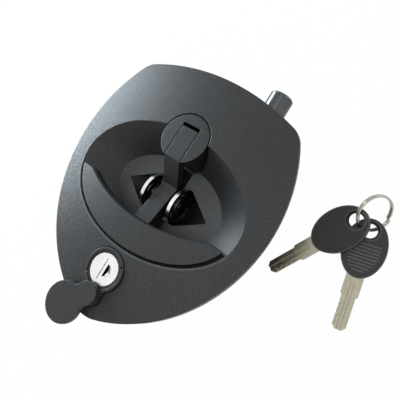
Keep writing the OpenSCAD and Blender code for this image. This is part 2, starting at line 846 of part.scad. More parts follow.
module key_two_bow() {
  place_key(key_two, key_two_turn, key_two_tilt) key_bow();
}

module split_ring() {
  color(steel) translate(ring_at) rotate(ring_turn) translate([0, 0, -ring_pitch])
    coil(ring_mean, ring_wire, ring_pitch, 2, 40);
}

front_plate();
plate_gasket();
round_head();
head_screw();
pull_grip();
rocker_lever();
grip_screws();
pivot_pin();
pin_clips();
pivot_ring_left();
pivot_ring_right();
torsion_spring_left();
torsion_spring_right();
lock_collar();
lock_barrel();
barrel_nut();
key_plug();
lock_cam();
cam_screw();
swing_cover();
cover_rivet();
latch_bolt();
bolt_bush();
draw_bar();
bar_screw();
drive_pin();
bolt_spring();
transfer_lever();
lever_stud();
stud_clip();
chassis();
rear_cover();
case_screws();
key_one_blade();
key_one_bow();
key_two_blade();
key_two_bow();
split_ring();
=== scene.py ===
import logging
import math
from dataclasses import dataclass, field
from enum import Enum
from typing import Any, Callable, Union

import bpy
from mathutils import Matrix, Vector


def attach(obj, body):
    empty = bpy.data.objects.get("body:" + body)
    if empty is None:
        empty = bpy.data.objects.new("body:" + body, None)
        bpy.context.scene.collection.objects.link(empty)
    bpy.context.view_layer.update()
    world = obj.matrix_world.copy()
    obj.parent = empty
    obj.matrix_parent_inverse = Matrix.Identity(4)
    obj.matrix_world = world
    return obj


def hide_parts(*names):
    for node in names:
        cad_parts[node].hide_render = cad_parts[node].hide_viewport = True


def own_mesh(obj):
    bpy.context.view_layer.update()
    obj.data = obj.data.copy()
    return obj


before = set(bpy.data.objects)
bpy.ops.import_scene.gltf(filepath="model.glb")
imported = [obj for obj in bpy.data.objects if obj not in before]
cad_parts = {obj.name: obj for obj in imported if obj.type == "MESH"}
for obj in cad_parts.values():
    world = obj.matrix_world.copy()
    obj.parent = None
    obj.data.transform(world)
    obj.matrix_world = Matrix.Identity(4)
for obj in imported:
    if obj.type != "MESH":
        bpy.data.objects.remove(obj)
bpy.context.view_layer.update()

MM = 0.001
MERGE_DISTANCE = 0.002 * MM
FLAT_ANGLE = math.radians(0.2)
NOISE_MID = 0.5
log = logging.getLogger("door_lock")


class Body(Enum):
    """Bodies of the lock that pieces ride on."""

    CASE = "case"
    HANDLE = "handle"
    LEVER = "lever"
    BOLT = "bolt"
    PLUG = "plug"
    COVER = "cover"
    KEYS = "keys"


class Slot(Enum):
    """Material slots of the record."""

    CHARCOAL = "charcoal_plastic"
    BLACK = "black_plastic"
    STEEL = "steel"
    NICKEL = "nickel"
    POLISHED = "polished_steel"
    BRASS = "brass"
    RUBBER = "rubber"


@dataclass(frozen=True)
class Value:
    """A socket that takes part in Python expressions; each operator adds a Math node."""

    graph: "Graph"
    socket: bpy.types.NodeSocket

    def __add__(self, other: "Number") -> "Value":
        """Sum."""
        return self.graph.maths("ADD", self, other)

    def __radd__(self, other: "Number") -> "Value":
        """Reflected sum."""
        return self.graph.maths("ADD", other, self)

    def __sub__(self, other: "Number") -> "Value":
        """Difference."""
        return self.graph.maths("SUBTRACT", self, other)

    def __rsub__(self, other: "Number") -> "Value":
        """Reflected difference."""
        return self.graph.maths("SUBTRACT", other, self)

    def __mul__(self, other: "Number") -> "Value":
        """Product."""
        return self.graph.maths("MULTIPLY", self, other)

    def __rmul__(self, other: "Number") -> "Value":
        """Reflected product."""
        return self.graph.maths("MULTIPLY", other, self)


Number = Union[Value, float]


class Graph:
    """Node tree of one material or world."""

    EDGE_SAMPLES = 6
    EDGE_FLAT = 0.995
    EDGE_SHARP = 0.80
    GAP_SAMPLES = 8
    GAP_DEEP = 0.18
    GAP_OPEN = 0.62

    def __init__(self, owner: Union[bpy.types.Material, bpy.types.World]) -> None:
        """Empties the tree of a material or world.

        Args:
            owner: The material or world.
        """
        owner.use_nodes = True
        self.owner = owner
        self.tree = owner.node_tree
        self.tree.nodes.clear()

    @classmethod
    def paint(cls, name: str) -> "Graph":
        """Tree of a new material."""
        return cls(bpy.data.materials.new(name))

    def node(self, kind: str, settings: dict[str, Any], inputs: dict[Any, Any], output: Any = 0) -> Value:
        """Adds a node.

        Args:
            kind: The node's type name.
            settings: Attributes set first.
            inputs: Socket names or numbers with their values or links.
            output: Name or number of the socket that is returned.

        Returns:
            The chosen output.
        """
        node = self.tree.nodes.new(kind)
        for key, value in settings.items():
            setattr(node, key, value)
        for key, value in inputs.items():
            if isinstance(value, Value):
                self.tree.links.new(value.socket, node.inputs[key])
            else:
                node.inputs[key].default_value = value
        return Value(self, node.outputs[output])

    def maths(self, operation: str, a: Number, b: Number) -> Value:
        """Math node on two values."""
        return self.node("ShaderNodeMath", {"operation": operation}, {0: a, 1: b})

    def place(self, stretch: tuple[float, float, float] = (1, 1, 1)) -> Value:
        """Object coordinates, stretched along the axes.

        Args:
            stretch: Scale of the coordinates along X, Y and Z.

        Returns:
            The coordinates.
        """
        here = self.node("ShaderNodeTexCoord", {}, {}, "Object")
        return self.node("ShaderNodeMapping", {}, {"Vector": here, "Scale": stretch})

    def noise(self, place: Value, scale: float, detail: float = 2.0) -> Value:
        """Noise from 0 to 1.

        Args:
            place: Coordinates.
            scale: Features per metre.
            detail: Octaves.

        Returns:
            The noise value.
        """
        return self.node("ShaderNodeTexNoise", {}, {"Vector": place, "Scale": scale, "Detail": detail})

    def step(self, value: Value, low: float, high: float) -> Value:
        """Value stepped from 0 at low to 1 at high."""
        return self.node("ShaderNodeMapRange", {}, {"Value": value, "From Min": low, "From Max": high})

    def tint(self, share: Number, a: "Colour", b: "Colour") -> Value:
        """Mixes two colours by a share."""
        # Sockets 6 and 7 are the node's colours, and output 2 is the mixed colour.
        ends = [end if isinstance(end, Value) else (*end, 1) for end in (a, b)]
        return self.node("ShaderNodeMix", {"data_type": "RGBA"}, {0: share, 6: ends[0], 7: ends[1]}, 2)

    def soft_edge(self, radius: float) -> Value:
        """Normal that rounds the edges.

        Args:
            radius: Radius of the rounding in metres.

        Returns:
            The normal.
        """
        return self.node("ShaderNodeBevel", {"samples": self.EDGE_SAMPLES}, {"Radius": radius})

    def edge_share(self, normal: Value) -> Value:
        """Share from 0 on open faces to 1 at the edges.

        Args:
            normal: The rounded normal.

        Returns:
            The share.
        """
        plain = self.node("ShaderNodeNewGeometry", {}, {}, "True Normal")
        dot = self.node("ShaderNodeVectorMath", {"operation": "DOT_PRODUCT"}, {0: normal, 1: plain}, "Value")
        return self.step(dot, self.EDGE_FLAT, self.EDGE_SHARP)

    def open_share(self, reach: float) -> Value:
        """Share from 0 deep in a gap to 1 on open faces.

        Args:
            reach: Width of the gaps that count, in metres.

        Returns:
            The share.
        """
        settings = {"samples": self.GAP_SAMPLES}
        open_sky = self.node("ShaderNodeAmbientOcclusion", settings, {"Distance": reach}, "AO")
        return self.step(open_sky, self.GAP_DEEP, self.GAP_OPEN)

    def surface(self, inputs: dict[str, Any]) -> bpy.types.Material:
        """Closes the tree with one shader.

        Args:
            inputs: Sockets of the shader.

        Returns:
            The finished material.
        """
        self.close(self.node("ShaderNodeBsdfPrincipled", {}, inputs), "ShaderNodeOutputMaterial")
        return self.owner

    def close(self, shader: Value, kind: str) -> None:
        """Links a shader to a new output node.

        Args:
            shader: The shader.
            kind: The output node's type name.
        """
        out = self.tree.nodes.new(kind)
        self.tree.links.new(shader.socket, out.inputs["Surface"])


Tone = tuple[float, float, float]
Point = tuple[float, float, float]
Colour = Union[Value, Tone]
# Near-black tone painted where ambient occlusion finds a gap: painted shade.
PAINTED_GAP_SHADE: Tone = (0.004, 0.004, 0.004)


@dataclass(frozen=True)
class MouldedPlastic:
    """Satin plastic with a fine spark-eroded grain, a painted highlight on its edges and painted shade in its
    gaps.
    """

    name: str
    dark: Tone
    pale: Tone
    rough: float
    grain: float
    grain_scale: float
    edge_radius: float
    # Reach of the painted gap shade.
    gap: float = 2.6 * MM
    edge_highlight_gain: float = 0.5
    grain_depth: float = 0.12 * MM
    sparkle: float = 0.0
    octaves: float = 3.0
    cloud_scale: float = 45.0
    cloud_share: float = 0.5
    grain_share: float = 0.8
    mid_share: float = 0.35
    grain_rough: float = 0.25
    cloud_rough: float = 0.06
    gloss: float = 0.3
    flake_scale: float = 1500.0
    flake_octaves: float = 1.0
    flake_low: float = 0.52
    flake_high: float = 0.72
    flake_rough: float = 0.34

    def highlight_band(self, graph: Graph, place: Value, tone: Value) -> Value:
        """Tone with a painted highlight band: none on plain mouldings."""
        return tone

    def material(self) -> bpy.types.Material:
        """Builds the material.

        Returns:
            The material.
        """
        graph = Graph.paint(self.name)
        place = graph.place()
        grain = graph.noise(place, self.grain_scale, self.octaves)
        cloud = graph.noise(place, self.cloud_scale, self.octaves)
        soft = graph.soft_edge(self.edge_radius)
        edge = graph.edge_share(soft)
        marks = (cloud - NOISE_MID) * self.cloud_share + (grain - NOISE_MID) * self.grain_share
        # Edges are tinted towards the pale tone: a painted highlight.
        share = marks + self.mid_share + edge * self.edge_highlight_gain
        tone = self.highlight_band(graph, place, graph.tint(share, self.dark, self.pale))
        bump = graph.node("ShaderNodeBump", {}, {"Height": grain, "Strength": self.grain,
                                                 "Distance": self.grain_depth, "Normal": soft})
        dull = (grain - NOISE_MID) * self.grain_rough + (cloud - NOISE_MID) * self.cloud_rough
        # Base colour darkens to the near-black gap tone where ambient occlusion finds a gap: painted shade.
        inputs = {"Base Color": graph.tint(graph.open_share(self.gap), PAINTED_GAP_SHADE, tone),
                  "Roughness": dull + self.rough, "Specular IOR Level": self.gloss, "Normal": bump}
        if self.sparkle:
            specks = graph.noise(place, self.flake_scale, self.flake_octaves)
            flakes = graph.step(specks, self.flake_low, self.flake_high)
            inputs.update({"Coat Weight": flakes * self.sparkle, "Coat Roughness": self.flake_rough})
        return graph.surface(inputs)


@dataclass(frozen=True)
class PlatePlastic(MouldedPlastic):
    """Plastic of the plate, with a painted highlight on the lip of the bowl beside the grip."""

    floor_a: float = 39.8 * MM
    floor_z: float = -9.5 * MM
    spread: float = 1.315
    ratio: float = 0.6016
    lip_w: float = 2.4 * MM
    lip_far: float = -4.0 * MM
    lip_near: float = -12.0 * MM
    lip_steep: float = 0.84
    lip_flat: float = 0.92
    lip_highlight_tone: Tone = (0.105, 0.109, 0.112)

    def highlight_band(self, graph: Graph, place: Value, tone: Value) -> Value:
        """Tone with the painted highlight on the lip.

        Args:
            graph: The tree.
            place: Object coordinates.
            tone: The tone without the lip.

        Returns:
            The tone with it.
        """
        x, y, z = (graph.node("ShaderNodeSeparateXYZ", {}, {0: place}, axis) for axis in "XYZ")
        across = y * (1.0 / self.ratio)
        reach = graph.maths("SQRT", x * x + across * across, 0.0)
        past_rim = reach - (z - self.floor_z) * self.spread - self.floor_a
        normal = graph.node("ShaderNodeNewGeometry", {}, {}, "True Normal")
        upward = graph.node("ShaderNodeSeparateXYZ", {}, {0: normal}, "Z")
        lip = graph.step(past_rim, self.lip_w, 0.0) * graph.step(upward, self.lip_steep, self.lip_flat)
        # The lip is tinted towards the pale lip tone: a painted highlight.
        return graph.tint(lip * graph.step(y, self.lip_far, self.lip_near), tone, self.lip_highlight_tone)


@dataclass(frozen=True)
class WorkedMetal:
    """Metal with fine tool lines along one direction and faint smudges."""

    name: str
    dark: Tone
    pale: Tone
    rough: float
    lines: tuple[float, float, float]
    line_depth: float
    edge_radius: float
    line_scale: float = 100.0
    line_octaves: float = 4.0
    line_height: float = 0.02 * MM
    line_share: float = 0.7
    line_rough: float = 0.15
    smudge_scale: float = 130.0
    smudge_octaves: float = 3.0
    smudge_share: float = 0.5
    smudge_rough: float = 0.12
    mid_share: float = 0.55

    def material(self) -> bpy.types.Material:
        """Builds the material.

        Returns:
            The material.
        """
        graph = Graph.paint(self.name)
        lines = graph.noise(graph.place(self.lines), self.line_scale, self.line_octaves)
        smudge = graph.noise(graph.place(), self.smudge_scale, self.smudge_octaves)
        soft = graph.soft_edge(self.edge_radius)
        marks = (lines - NOISE_MID) * self.line_share + (smudge - NOISE_MID) * self.smudge_share
        dull = (smudge - NOISE_MID) * self.smudge_rough + (lines - NOISE_MID) * self.line_rough
        bump = graph.node("ShaderNodeBump", {}, {"Height": lines, "Strength": self.line_depth,
                                                 "Distance": self.line_height, "Normal": soft})
        return graph.surface({"Base Color": graph.tint(marks + self.mid_share, self.dark, self.pale),
                              "Metallic": 1.0, "Roughness": dull + self.rough, "Normal": bump})


@dataclass(frozen=True)
class SealRubber:
    """Dull rubber with a dusty bloom."""

    name: str
    dark: Tone
    pale: Tone
    rough: float = 0.82
    bloom_scale: float = 220.0
    bloom_octaves: float = 5.0
    bloom_rough: float = 0.2
    pore_scale: float = 1900.0
    pore_octaves: float = 2.0
    pore_strength: float = 0.35
    pore_depth: float = 0.08 * MM
    gloss: float = 0.3

    def material(self) -> bpy.types.Material:
        """Builds the material.

        Returns:
            The material.
        """
        graph = Graph.paint(self.name)
        place = graph.place()
        bloom = graph.noise(place, self.bloom_scale, self.bloom_octaves)
        pores = graph.noise(place, self.pore_scale, self.pore_octaves)
        bump = graph.node("ShaderNodeBump", {}, {"Height": pores, "Strength": self.pore_strength,
                                                 "Distance": self.pore_depth})
        return graph.surface({"Base Color": graph.tint(bloom, self.dark, self.pale),
                              "Roughness": (bloom - NOISE_MID) * self.bloom_rough + self.rough,
                              "Specular IOR Level": self.gloss, "Normal": bump})


class Finishes:
    """All finishes of the lock, made once."""

    def __init__(self) -> None:
        """Builds the materials."""
        self.charcoal = MouldedPlastic(
            "charcoal_satin", dark=(0.0165, 0.0172, 0.0178), pale=(0.032, 0.034, 0.036), rough=0.44,
            grain=0.9, grain_scale=1200.0, edge_radius=0.7 * MM, grain_depth=0.2 * MM, sparkle=0.35,
        ).material()
        self.plate = PlatePlastic(
            "plate_satin", dark=(0.0165, 0.0172, 0.0178), pale=(0.032, 0.034, 0.036), rough=0.44,
            grain=0.9, grain_scale=1200.0, edge_radius=1.0 * MM, grain_depth=0.24 * MM, sparkle=0.42,
        ).material()
        # Darker plastic for the pockets beside the rings, with a wide reach for the gap darkening: painted
        # shade.
        self.pocket = MouldedPlastic(
            "pocket_painted_shade", dark=(0.0125, 0.0135, 0.0145), pale=(0.024, 0.027, 0.03), rough=0.5,
            grain=0.6, grain_scale=1300.0, edge_radius=0.4 * MM, gap=15 * MM,
        ).material()
        # Paler copy of the plate plastic for the bowl's floor, as if lit from above: painted light.
        self.bowl_floor_light = MouldedPlastic(
            "bowl_floor_painted_light", dark=(0.052, 0.055, 0.057), pale=(0.098, 0.104, 0.109), rough=0.46,
            grain=0.7, grain_scale=1200.0, edge_radius=0.5 * MM, grain_depth=0.2 * MM, sparkle=0.35,
        ).material()
        self.shade = MouldedPlastic(
            "shaded_wall", dark=(0.003, 0.003, 0.0032), pale=(0.008, 0.008, 0.0084), rough=0.55,
            grain=0.25, grain_scale=1300.0, edge_radius=0.2 * MM,
        ).material()
        self.black = MouldedPlastic(
            "black_moulding", dark=(0.008, 0.008, 0.009), pale=(0.018, 0.018, 0.019), rough=0.5,
            grain=0.25, grain_scale=1300.0, edge_radius=0.4 * MM,
        ).material()
        self.key_black = MouldedPlastic(
            "key_head_black", dark=(0.002, 0.002, 0.002), pale=(0.052, 0.052, 0.05), rough=0.5, grain=0.5,
            grain_scale=1100.0, edge_radius=0.5 * MM, gap=0.9 * MM, edge_highlight_gain=1.6,
        ).material()
        # Paler copy of the black key head finish for the ribbed key, for the light its head catches: painted
        # light.
        self.key_lit_head = MouldedPlastic(
            "key_head_painted_light", dark=(0.004, 0.004, 0.004), pale=(0.074, 0.074, 0.072), rough=0.5, grain=0.5,
            grain_scale=1100.0, edge_radius=0.5 * MM, gap=0.9 * MM, edge_highlight_gain=1.6,
        ).material()
        # Paler finish for the tops of the key heads' rims and ribs: a painted highlight.
        self.key_rim_highlight = MouldedPlastic(
            "key_head_rim_highlight", dark=(0.045, 0.045, 0.044), pale=(0.21, 0.21, 0.205), rough=0.46,
            grain=0.3, grain_scale=1100.0, edge_radius=0.3 * MM,
        ).material()
        self.face = WorkedMetal(
            "lock_face_nickel", dark=(0.66, 0.66, 0.65), pale=(0.88, 0.88, 0.86), rough=0.24,
            lines=(1.0, 14.0, 1.0), line_depth=0.2, edge_radius=0.2 * MM,
        ).material()
        # Darker metal for the half dish beside the key slit: painted shade.
        self.recess_shade = WorkedMetal(
            "shaded_recess", dark=(0.1, 0.1, 0.1), pale=(0.26, 0.26, 0.255), rough=0.36,
            lines=(1.0, 14.0, 1.0), line_depth=0.2, edge_radius=0.1 * MM,
        ).material()
        self.bright = WorkedMetal(
            "bright_ring", dark=(0.62, 0.63, 0.62), pale=(0.9, 0.9, 0.88), rough=0.2,
            lines=(16.0, 1.0, 1.0), line_depth=0.15, edge_radius=0.25 * MM,
        ).material()
        # Dark steel of the pin, clips, springs and ring sides; also used as painted shade in the key slit and
        # its groove.
        self.dull = WorkedMetal(
            "dark_bronzed_steel_and_shade", dark=(0.01, 0.009, 0.007), pale=(0.045, 0.041, 0.033), rough=0.38,
            lines=(6.0, 6.0, 6.0), line_depth=0.3, edge_radius=0.2 * MM,
        ).material()
        self.bolt = WorkedMetal(
            "ground_bolt", dark=(0.045, 0.047, 0.05), pale=(0.11, 0.115, 0.12), rough=0.22,
            lines=(1.0, 22.0, 1.0), line_depth=0.2, edge_radius=0.4 * MM,
        ).material()
        self.key_steel = WorkedMetal(
            "key_steel", dark=(0.155, 0.145, 0.105), pale=(0.305, 0.287, 0.219), rough=0.3,
            lines=(3.0, 3.0, 3.0), line_depth=0.25, edge_radius=0.3 * MM,
        ).material()
        self.wire = WorkedMetal(
            "ring_wire", dark=(0.26, 0.25, 0.21), pale=(0.55, 0.54, 0.48), rough=0.22,
            lines=(6.0, 6.0, 6.0), line_depth=0.2, edge_radius=0.1 * MM,
        ).material()
        self.plated = WorkedMetal(
            "plated_steel", dark=(0.26, 0.27, 0.28), pale=(0.45, 0.46, 0.47), rough=0.34,
            lines=(4.0, 18.0, 4.0), line_depth=0.3, edge_radius=0.25 * MM,
        ).material()
        self.brass = WorkedMetal(
            "turned_brass", dark=(0.36, 0.26, 0.1), pale=(0.58, 0.44, 0.2), rough=0.3,
            lines=(4.0, 24.0, 4.0), line_depth=0.25, edge_radius=0.3 * MM,
        ).material()
        self.sheet = WorkedMetal(
            "pressed_sheet", dark=(0.24, 0.25, 0.26), pale=(0.4, 0.41, 0.42), rough=0.42,
            lines=(2.0, 26.0, 2.0), line_depth=0.35, edge_radius=0.5 * MM,
        ).material()
        self.rubber = SealRubber("seal_rubber", (0.012, 0.012, 0.013), (0.030, 0.030, 0.031)).material()


class Bench:
    """Tools that shape and place meshes."""

    @staticmethod
    def only(obj: bpy.types.Object) -> None:
        """Selects one object alone and makes it active.

        Args:
            obj: The object.
        """
        bpy.ops.object.select_all(action="DESELECT")
        obj.select_set(True)
        bpy.context.view_layer.objects.active = obj

    @classmethod
    def copy_of(cls, node: str, name: str) -> bpy.types.Object:
        """Merged copy of a solid.

        Args:
            node: The solid's node.
            name: Name of the copy.

        Returns:
            The copy, with its doubles merged and its flat faces joined.
        """
        cls.only(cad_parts[node])
        bpy.ops.object.duplicate()
        copy = bpy.context.view_layer.objects.active
        copy.name = name
        for key in list(copy.keys()):
            if key.startswith("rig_"):
                del copy[key]
        cls.only(copy)
        bpy.ops.object.mode_set(mode="EDIT")
        bpy.ops.mesh.select_all(action="SELECT")
        bpy.ops.mesh.customdata_custom_splitnormals_clear()
        bpy.ops.mesh.remove_doubles(threshold=MERGE_DISTANCE)
        bpy.ops.mesh.dissolve_limited(angle_limit=FLAT_ANGLE)
        bpy.ops.object.mode_set(mode="OBJECT")
        return copy

    @classmethod
    def round_edges(cls, obj: bpy.types.Object, width: float, segments: int = 2, angle: float = 32.0) -> None:
        """Rounds the sharp edges of a piece.

        Args:
            obj: The piece.
            width: Width of the rounding in metres.
            segments: Faces across the rounding.
            angle: Least angle of an edge that is rounded, in degrees.
        """
        cls.only(obj)
        bevel = obj.modifiers.new("rounding", "BEVEL")
        bevel.width = width
        bevel.segments = segments
        bevel.limit_method = "ANGLE"
        bevel.angle_limit = math.radians(angle)
        bevel.use_clamp_overlap = True
        bpy.ops.object.modifier_apply(modifier=bevel.name)

    @classmethod
    def pick_faces(cls, obj: bpy.types.Object, wanted: Callable[[bpy.types.MeshPolygon], bool]) -> None:
        """Opens a piece for editing with the wanted faces selected.

        Args:
            obj: The piece.
            wanted: Says whether a face is selected.
        """
        cls.clear_choice(obj, "FACE")
        for face in obj.data.polygons:
            face.select = wanted(face)
        bpy.ops.object.mode_set(mode="EDIT")

    @classmethod
    def pick_edges(cls, obj: bpy.types.Object, wanted: Callable[[Vector, Vector], bool]) -> None:
        """Opens a piece for editing with the wanted edges selected.

        Args:
            obj: The piece.
            wanted: Says from the two ends of an edge, in millimetres, whether it is selected.
        """
        cls.clear_choice(obj, "EDGE")
        points = [vertex.co / MM for vertex in obj.data.vertices]
        for edge in obj.data.edges:
            edge.select = wanted(*(points[i] for i in edge.vertices))
        bpy.ops.object.mode_set(mode="EDIT")

    @classmethod
    def clear_choice(cls, obj: bpy.types.Object, mode: str) -> None:
        """Clears a piece's selection in one selection mode.

        Args:
            obj: The piece.
            mode: The selection mode.
        """
        cls.only(obj)
        bpy.ops.object.mode_set(mode="EDIT")
        bpy.ops.mesh.select_mode(type=mode)
        bpy.ops.mesh.select_all(action="DESELECT")
        bpy.ops.object.mode_set(mode="OBJECT")

    @staticmethod
    def done() -> None:
        """Closes the edit."""
        bpy.ops.object.mode_set(mode="OBJECT")

    @classmethod
    def join(cls, obj: bpy.types.Object, others: list[bpy.types.Object]) -> None:
        """Joins other pieces into one piece.

        Args:
            obj: The piece that stays.
            others: The pieces that become part of it.
        """
        cls.only(obj)
        for other in others:
            other.select_set(True)
        if others:
            bpy.ops.object.join()

    @classmethod
    def cut(cls, obj: bpy.types.Object, cutter: bpy.types.Object) -> None:
        """Cuts one piece with another and removes the cutter.

        Args:
            obj: The piece that is cut.
            cutter: The piece that cuts.
        """
        cls.only(obj)
        minus = obj.modifiers.new("cut", "BOOLEAN")
        minus.operation = "DIFFERENCE"
        minus.object = cutter
        bpy.ops.object.modifier_apply(modifier=minus.name)
        bpy.data.objects.remove(cutter)

    @classmethod
    def set_down(cls, obj: bpy.types.Object, place: Matrix) -> None:
        """Moves a piece to its place and makes that its rest.

        Args:
            obj: The piece.
            place: Its place.
        """
        cls.only(obj)
        obj.matrix_world = place
        bpy.ops.object.transform_apply(location=True, rotation=True, scale=True)

    @staticmethod
    def two_tone(obj: bpy.types.Object, material: bpy.types.Material,
                 wanted: Callable[[bpy.types.MeshPolygon], bool]) -> None:
        """Gives some faces a second finish.

        Args:
            obj: The piece.
            material: The second finish.
            wanted: Says whether a face gets it.
        """
        obj.data.materials.append(material)
        for face in obj.data.polygons:
            if wanted(face):
                face.material_index = len(obj.data.materials) - 1

    @classmethod
    def smooth(cls, obj: bpy.types.Object, angle: float = 30.0) -> None:
        """Shades a piece smooth up to an angle, with its large faces kept flat.

        Args:
            obj: The piece.
            angle: Least angle of an edge that stays sharp, in degrees.
        """
        cls.only(obj)
        bpy.ops.object.shade_smooth_by_angle(angle=math.radians(angle))
        flat = obj.modifiers.new("flat_faces", "WEIGHTED_NORMAL")
        flat.keep_sharp = True
        bpy.ops.object.modifier_apply(modifier=flat.name)

    @staticmethod
    def dress(obj: bpy.types.Object, body: Body, material: bpy.types.Material, slot: Slot,
              *nodes: str) -> None:
        """Gives a piece its finish and its place on a body.

        Args:
            obj: The piece.
            body: The body it rides on.
            material: Its finish.
            slot: The record's slot of that finish; not used.
            nodes: Solids that it stands for.
        """
        obj.data.materials.clear()
        obj.data.materials.append(material)
        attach(obj, body.value)
        if nodes:
            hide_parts(*nodes)
        log.info("%s rides on %s", obj.name, body.value)


@dataclass
class Skin:
    """A rounded copy that stands for one solid."""

    node: str
    name: str
    body: Body
    slot: Slot
    width: float = 0.3
    angle: float = 32.0

    def build(self, material: bpy.types.Material) -> bpy.types.Object:
        """Makes the copy, rounds its edges and dresses it.

        Args:
            material: Its finish.

        Returns:
            The piece.
        """
        piece = Bench.copy_of(self.node, self.name)
        if self.width:
            Bench.round_edges(piece, self.width * MM, angle=self.angle)
        Bench.smooth(piece)
        Bench.dress(piece, self.body, material, self.slot, self.node)
        return piece


@dataclass
class FacePlate:
    """Domed plate with its bowl, the gasket and the round head."""

    finishes: Finishes
    floor_z: float = -9.5
    floor_flat: float = 0.95
    floor_band: float = 0.4
    pocket_x: float = 34.0
    pocket_y: float = 16.0
    pocket_step: float = 0.2
    wall_face: float = 0.99
    wall_slope: float = 0.3
    slot_wall: float = 7.0
    slot_ease: float = 0.3
    head_round: float = 0.6

    def in_pocket(self, face: bpy.types.MeshPolygon) -> bool:
        """Says whether a face lies in one of the dark pockets beside the rings.

        Args:
            face: The face.

        Returns:
            True for a face of a pocket.
        """
        at = face.center / MM
        beside = abs(at.x) < self.pocket_x and abs(at.y) < self.pocket_y
        return beside and at.z < self.floor_z - self.pocket_step

    def on_floor(self, face: bpy.types.MeshPolygon) -> bool:
        """Says whether a face is part of the bowl's flat floor."""
        return face.normal.z > self.floor_flat and abs(face.center.z / MM - self.floor_z) < self.floor_band

    def build(self) -> None:
        """Builds and dresses the plate's pieces."""
        plate = Skin("front_plate", "plate_skin", Body.CASE, Slot.CHARCOAL,
                     width=0.3).build(self.finishes.plate)
        # The pockets get the darker pocket finish: painted shade.
        Bench.two_tone(plate, self.finishes.pocket, self.in_pocket)
        # The bowl's flat floor gets the paler floor finish: painted light.
        Bench.two_tone(plate, self.finishes.bowl_floor_light, self.on_floor)
        Skin("plate_gasket", "door_seal", Body.CASE, Slot.RUBBER, width=0.2).build(self.finishes.rubber)
        self.build_head()
        Skin("head_screw", "head_fixing_screws", Body.CASE, Slot.STEEL, width=0.2).build(self.finishes.plated)

    def build_head(self) -> None:
        """Builds the round head, with its slot eased so that the shadow line beside the thumb pad shows."""
        head = Bench.copy_of("round_head", "head_button")
        for side in (1, -1):
            Bench.pick_faces(head, lambda face: side * face.normal.x < -self.wall_face
                             and 0 < side * face.center.x / MM < self.slot_wall)
            bpy.ops.transform.translate(value=(side * self.slot_ease * MM, 0, 0))
            Bench.done()
        Bench.round_edges(head, self.head_round * MM, segments=3)
        Bench.smooth(head)
        Bench.dress(head, Body.CASE, self.finishes.charcoal, Slot.CHARCOAL, "round_head")
        Bench.two_tone(head, self.finishes.shade, lambda face: abs(face.normal.z) < self.wall_slope)


@dataclass
class PullHandle:
    """Rocking grip with its arm, pivot pin, rings and springs."""

    finishes: Finishes
    under_slope: float = 0.3
    arm_side: float = 0.9
    ring_side: float = 0.35

    def build(self) -> None:
        """Builds and dresses the handle's pieces."""
        f = self.finishes
        grip = Skin("pull_grip", "crescent_grip", Body.HANDLE, Slot.CHARCOAL, width=0.3).build(f.charcoal)
        Bench.two_tone(grip, f.shade, lambda face: face.normal.z < self.under_slope)
        arm = Skin("rocker_lever", "rocker_arm", Body.HANDLE, Slot.CHARCOAL, width=0.35).build(f.charcoal)
        Bench.two_tone(arm, f.shade, lambda face: abs(face.normal.x) > self.arm_side)
        Skin("grip_screws", "grip_fixing_screws", Body.HANDLE, Slot.STEEL, width=0.15).build(f.plated)
        Skin("pivot_pin", "rocker_pin", Body.CASE, Slot.STEEL, width=0.3).build(f.dull)
        Skin("pin_clips", "pin_end_clips", Body.CASE, Slot.STEEL, width=0.15).build(f.dull)
        for side in ("left", "right"):
            ring = Skin(f"pivot_ring_{side}", f"{side}_ring", Body.CASE, Slot.NICKEL,
                        width=0.3).build(f.bright)
            Bench.two_tone(ring, f.dull, lambda face: abs(face.normal.x) > self.ring_side)
            Skin(f"torsion_spring_{side}", f"{side}_return_spring", Body.CASE, Slot.STEEL,
                 width=0.0).build(f.dull)


